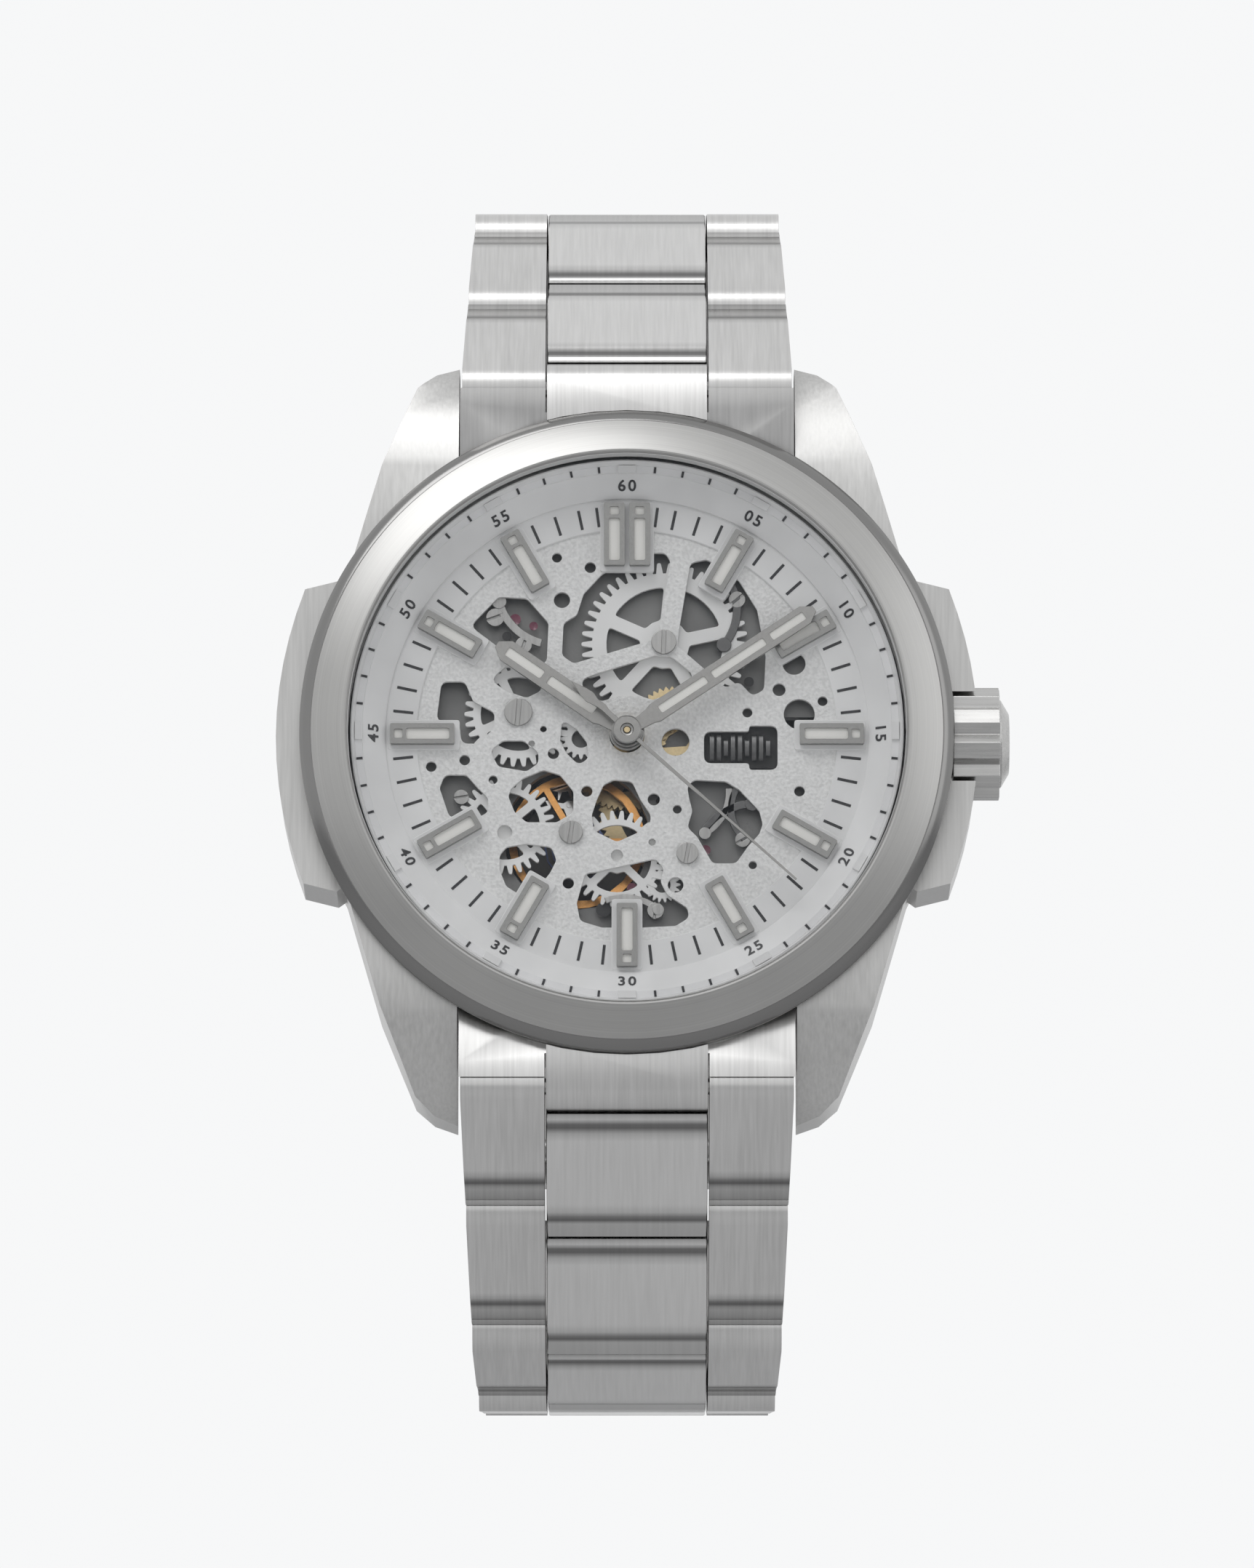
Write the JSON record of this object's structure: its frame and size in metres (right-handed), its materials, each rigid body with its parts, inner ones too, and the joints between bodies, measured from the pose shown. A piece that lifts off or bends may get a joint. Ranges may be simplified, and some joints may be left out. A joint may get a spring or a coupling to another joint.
{
  "type": "skeleton wristwatch",
  "caption": "Self-winding skeleton wristwatch with openwork dial, three hands, round screw-back case, crown guards and a jointed steel bracelet with folding clasp.",
  "frame": {"origin": "middle of the case back's outer face, which rests on the wrist", "axes": "dial faces -Y, 12 o'clock is +Z, 3 o'clock and the crown are +X; +Y points into the wrist"},
  "size_m": [0.0439, 0.05, 0.075],
  "materials": {
    "case_steel": "light brushed stainless steel",
    "bezel_steel": "circular-brushed stainless steel with a polished chamfer",
    "bracelet_steel": "lengthwise-brushed stainless steel, polished edges",
    "hand_steel": "polished steel",
    "dial_white": "grained matt white lacquer",
    "rehaut_white": "satin white with printed scale",
    "movement_grey": "grey bead-blasted plates",
    "train_brass": "gilt brass",
    "balance_copper": "copper-coloured beryllium bronze",
    "blued_spring": "fine blued alloy strip",
    "sapphire": "clear sapphire",
    "gasket_black": "black seal"
  },
  "bodies": {
    "case": {"balance_cock": "movement_grey", "barrel_bridge": "movement_grey", "bezel": "bezel_steel", "caseback_glass": "sapphire", "caseback_ring": "case_steel", "crown_tube": "case_steel", "crystal": "sapphire", "crystal_gasket": "gasket_black", "dial_gear_12": "dial_white", "dial_gear_6": "dial_white", "dial_gear_8": "dial_white", "dial_gear_9": "dial_white", "dial_plate": "dial_white", "end_link_12": "bracelet_steel", "end_link_6": "bracelet_steel", "hairspring": "blued_spring", "mainplate": "movement_grey", "mid_case": "case_steel", "movement_ring": "movement_grey", "rehaut_ring": "rehaut_white", "rotor_bearing": "movement_grey", "train_bridge": "movement_grey"},
    "minute_hand": {"minute_hand": "hand_steel", "cannon_pinion": "movement_grey"},
    "hour_hand": {"hour_hand": "hand_steel", "hour_wheel": "train_brass"},
    "minute_wheel": {"minute_wheel": "train_brass"},
    "seconds_hand": {"seconds_hand": "hand_steel", "fourth_wheel": "train_brass"},
    "third_wheel": {"third_wheel": "train_brass"},
    "centre_wheel": {"centre_wheel": "train_brass"},
    "mainspring_barrel": {"mainspring_barrel": "train_brass"},
    "escape_wheel": {"escape_wheel": "movement_grey"},
    "balance_wheel": {"balance_wheel": "balance_copper"},
    "pallet_fork": {"pallet_fork": "movement_grey"},
    "rotor": {"rotor": "movement_grey"},
    "winding_pinion": {"winding_pinion": "movement_grey", "clutch_wheel": "movement_grey"},
    "crown": {"crown": "case_steel", "winding_stem": "movement_grey"},
    "crown_wheel": {"crown_wheel": "movement_grey"},
    "ratchet_wheel": {"ratchet_wheel": "movement_grey", "barrel_arbor": "movement_grey"},
    "link_12_1": {"link_12_1": "bracelet_steel"},
    "link_12_2": {"link_12_2": "bracelet_steel"},
    "link_12_3": {"link_12_3": "bracelet_steel"},
    "link_12_4": {"link_12_4": "bracelet_steel"},
    "link_12_5": {"link_12_5": "bracelet_steel"},
    "link_12_6": {"link_12_6": "bracelet_steel"},
    "link_6_1": {"link_6_1": "bracelet_steel"},
    "link_6_2": {"link_6_2": "bracelet_steel"},
    "link_6_3": {"link_6_3": "bracelet_steel"},
    "link_6_4": {"link_6_4": "bracelet_steel"},
    "link_6_5": {"link_6_5": "bracelet_steel"},
    "link_6_6": {"link_6_6": "bracelet_steel"},
    "clasp_cover": {"clasp_cover": "bracelet_steel"},
    "clasp_blade_outer": {"clasp_blade_outer": "bracelet_steel"},
    "clasp_blade_inner": {"clasp_blade_inner": "bracelet_steel"},
    "clasp_button_left": {"clasp_button_left": "bracelet_steel"},
    "clasp_button_right": {"clasp_button_right": "bracelet_steel"}
  },
  "joints": [
    {"name": "minute_hand_turn", "type": "hinge", "parent": "case", "child": "minute_hand", "pos_m": [0, -0.0087, 0], "axis": [0, 1, 0], "continuous": true},
    {"name": "hour_hand_turn", "type": "hinge", "parent": "case", "child": "hour_hand", "pos_m": [0, -0.0083, 0], "axis": [0, 1, 0], "continuous": true},
    {"name": "minute_wheel_turn", "type": "hinge", "parent": "case", "child": "minute_wheel", "pos_m": [0.00271, -0.0066, 0.00098], "axis": [0, 1, 0], "continuous": true},
    {"name": "seconds_hand_turn", "type": "hinge", "parent": "case", "child": "seconds_hand", "pos_m": [0, -0.0091, 0], "axis": [0, 1, 0], "continuous": true},
    {"name": "third_wheel_turn", "type": "hinge", "parent": "case", "child": "third_wheel", "pos_m": [0.00215, -0.0035, -0.00372], "axis": [0, 1, 0], "continuous": true},
    {"name": "centre_wheel_turn", "type": "hinge", "parent": "case", "child": "centre_wheel", "pos_m": [0, -0.004, 0], "axis": [0, 1, 0], "continuous": true},
    {"name": "barrel_turn", "type": "hinge", "parent": "case", "child": "mainspring_barrel", "pos_m": [0.00225, -0.0048, 0.00568], "axis": [0, 1, 0], "continuous": true},
    {"name": "escape_wheel_turn", "type": "hinge", "parent": "case", "child": "escape_wheel", "pos_m": [-0.00395, -0.0044, -0.00144], "axis": [0, 1, 0], "continuous": true},
    {"name": "balance_swing", "type": "hinge", "parent": "case", "child": "balance_wheel", "pos_m": [-0.003, -0.005, -0.006], "axis": [0, 1, 0], "range_deg": [-270, 270], "stiffness_Nm_per_rad": 0.0000005},
    {"name": "pallet_fork_rock", "type": "hinge", "parent": "case", "child": "pallet_fork", "pos_m": [-0.00348, -0.0046, -0.00369], "axis": [0, 1, 0], "range_deg": [-5, 5]},
    {"name": "rotor_spin", "type": "hinge", "parent": "case", "child": "rotor", "pos_m": [0, -0.0016, 0], "axis": [0, 1, 0], "continuous": true},
    {"name": "crown_turn", "type": "hinge", "parent": "case", "child": "winding_pinion", "pos_m": [0.012, -0.005, 0], "axis": [1, 0, 0], "continuous": true},
    {"name": "crown_pull", "type": "slide", "parent": "winding_pinion", "child": "crown", "axis": [1, 0, 0], "range_m": [0, 0.0015]},
    {"name": "crown_wheel_turn", "type": "hinge", "parent": "case", "child": "crown_wheel", "pos_m": [0.00645, -0.0019, 0.00326], "axis": [0, 1, 0], "continuous": true},
    {"name": "ratchet_turn", "type": "hinge", "parent": "case", "child": "ratchet_wheel", "pos_m": [0.00225, -0.0019, 0.00568], "axis": [0, 1, 0], "continuous": true},
    {"name": "link_12_1_hinge", "type": "hinge", "parent": "case", "child": "link_12_1", "pos_m": [0, -0.00746, 0.0213], "axis": [1, 0, 0], "range_deg": [0, 48.3]},
    {"name": "link_12_2_hinge", "type": "hinge", "parent": "link_12_1", "child": "link_12_2", "pos_m": [0, -0.00136, 0.02778], "axis": [1, 0, 0], "range_deg": [0, 8.7]},
    {"name": "link_12_3_hinge", "type": "hinge", "parent": "link_12_2", "child": "link_12_3", "pos_m": [0, 0.00515, 0.03385], "axis": [1, 0, 0], "range_deg": [0, 34]},
    {"name": "link_12_4_hinge", "type": "hinge", "parent": "link_12_3", "child": "link_12_4", "pos_m": [0, 0.01379, 0.036], "axis": [1, 0, 0], "range_deg": [0, 26]},
    {"name": "link_12_5_hinge", "type": "hinge", "parent": "link_12_4", "child": "link_12_5", "pos_m": [0, 0.02262, 0.03492], "axis": [1, 0, 0], "range_deg": [0, 32]},
    {"name": "link_12_6_hinge", "type": "hinge", "parent": "link_12_5", "child": "link_12_6", "pos_m": [0, 0.03, 0.02994], "axis": [1, 0, 0], "range_deg": [0, 33]},
    {"name": "link_6_1_hinge", "type": "hinge", "parent": "case", "child": "link_6_1", "pos_m": [0, -0.00746, -0.0213], "axis": [-1, 0, 0], "range_deg": [0, 48.3]},
    {"name": "link_6_2_hinge", "type": "hinge", "parent": "link_6_1", "child": "link_6_2", "pos_m": [0, -0.00136, -0.02778], "axis": [-1, 0, 0], "range_deg": [0, 8.7]},
    {"name": "link_6_3_hinge", "type": "hinge", "parent": "link_6_2", "child": "link_6_3", "pos_m": [0, 0.00515, -0.03385], "axis": [-1, 0, 0], "range_deg": [0, 34]},
    {"name": "link_6_4_hinge", "type": "hinge", "parent": "link_6_3", "child": "link_6_4", "pos_m": [0, 0.01379, -0.036], "axis": [-1, 0, 0], "range_deg": [0, 26]},
    {"name": "link_6_5_hinge", "type": "hinge", "parent": "link_6_4", "child": "link_6_5", "pos_m": [0, 0.02262, -0.03492], "axis": [-1, 0, 0], "range_deg": [0, 32]},
    {"name": "link_6_6_hinge", "type": "hinge", "parent": "link_6_5", "child": "link_6_6", "pos_m": [0, 0.03, -0.02994], "axis": [-1, 0, 0], "range_deg": [0, 33]},
    {"name": "clasp_hinge", "type": "hinge", "parent": "link_12_6", "child": "clasp_cover", "pos_m": [0, 0.03418, 0.02208], "axis": [1, 0, 0], "range_deg": [0, 16]},
    {"name": "clasp_outer_blade_fold", "type": "hinge", "parent": "clasp_cover", "child": "clasp_blade_outer", "pos_m": [0, 0.03517, -0.01771], "axis": [1, 0, 0], "range_deg": [0, 65]},
    {"name": "clasp_inner_blade_fold", "type": "hinge", "parent": "clasp_blade_outer", "child": "clasp_blade_inner", "pos_m": [0, 0.03517, 0.01771], "axis": [-1, 0, 0], "range_deg": [0, 100]},
    {"name": "clasp_button_left_press", "type": "slide", "parent": "clasp_cover", "child": "clasp_button_left", "axis": [1, 0, 0], "range_m": [0, 0.0006], "stiffness_N_per_m": 400},
    {"name": "clasp_button_right_press", "type": "slide", "parent": "clasp_cover", "child": "clasp_button_right", "axis": [-1, 0, 0], "range_m": [0, 0.0006], "stiffness_N_per_m": 400}
  ],
  "couplings": [
    {"joint": "hour_hand_turn", "follows": "minute_hand_turn", "ratio": 0.083333},
    {"joint": "minute_wheel_turn", "follows": "minute_hand_turn", "ratio": -0.33333},
    {"joint": "third_wheel_turn", "follows": "seconds_hand_turn", "ratio": -0.13333},
    {"joint": "centre_wheel_turn", "follows": "seconds_hand_turn", "ratio": 0.016667},
    {"joint": "barrel_turn", "follows": "seconds_hand_turn", "ratio": -0.0027778},
    {"joint": "escape_wheel_turn", "follows": "seconds_hand_turn", "ratio": -10},
    {"joint": "crown_wheel_turn", "follows": "crown_turn", "ratio": 0.53846},
    {"joint": "ratchet_turn", "follows": "crown_turn", "ratio": -0.35}
  ]
}
